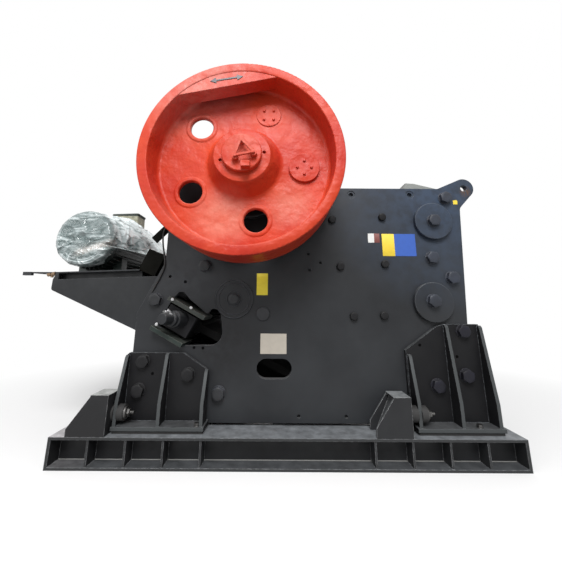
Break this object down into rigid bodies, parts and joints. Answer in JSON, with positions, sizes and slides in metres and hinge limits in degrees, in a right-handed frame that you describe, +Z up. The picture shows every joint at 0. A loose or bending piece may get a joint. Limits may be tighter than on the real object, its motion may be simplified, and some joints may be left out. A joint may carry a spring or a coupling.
{
  "type": "jaw crusher",
  "caption": "Stationary jaw crusher with dished flywheels, ribbed feet on a welded base frame and a rear motor support.",
  "frame": {"origin": "ground level below the middle of the base frame, on the underside of its middle cross member", "axes": "+X along the base to the feed end, +Y from the near side (seen in the picture) to the far side, +Z up"},
  "size_m": [3.9989, 2.482, 2.92],
  "materials": {
    "frame_paint": "satin charcoal paint",
    "base_paint": "satin charcoal paint with scuffs",
    "wheel_paint": "satin orange-red paint",
    "machined_steel": "turned steel",
    "liner_steel": "cast manganese steel",
    "buffer_rubber": "black rubber",
    "motor_paint": "dark grey-green paint"
  },
  "bodies": {
    "frame": {"base_beam_far": "base_paint", "base_beam_near": "base_paint", "base_cross_members": "base_paint", "bearing_housing_far": "frame_paint", "bearing_housing_near": "frame_paint", "cheek_plates_far": "liner_steel", "cheek_plates_near": "liner_steel", "clamp_discs": "frame_paint", "feed_lip": "machined_steel", "fixed_jaw_die": "liner_steel", "foot_front_far": "frame_paint", "foot_front_near": "frame_paint", "foot_pads": "buffer_rubber", "foot_rear_far": "frame_paint", "foot_rear_near": "frame_paint", "front_frame": "frame_paint", "guard_bars": "frame_paint", "motor_brackets": "frame_paint", "motor_crossbeam": "frame_paint", "motor_end_shields": "motor_paint", "motor_fan_cover": "motor_paint", "motor_frame": "motor_paint", "motor_pulley": "motor_paint", "motor_seat": "frame_paint", "motor_terminal_box": "motor_paint", "pitman": "frame_paint", "rear_arm": "frame_paint", "rear_frame": "frame_paint", "setting_cylinders": "frame_paint", "side_plate_far": "frame_paint", "side_plate_near": "frame_paint", "stop_buffers": "buffer_rubber", "stops_front": "base_paint", "stops_rear": "base_paint", "swing_jaw_die": "liner_steel", "toggle_beam": "frame_paint", "toggle_plate": "liner_steel", "toggle_rails_far": "frame_paint", "toggle_rails_near": "frame_paint"},
    "rotor": {"balance_covers": "wheel_paint", "eccentric_shaft": "machined_steel", "flywheel_far": "wheel_paint", "flywheel_near": "wheel_paint", "hub_cover_far": "wheel_paint", "hub_cover_near": "wheel_paint"}
  },
  "joints": [
    {"name": "rotor_spin", "type": "hinge", "parent": "frame", "child": "rotor", "pos_m": [-0.345, 0, 2.164], "axis": [0, 1, 0], "continuous": true}
  ]
}
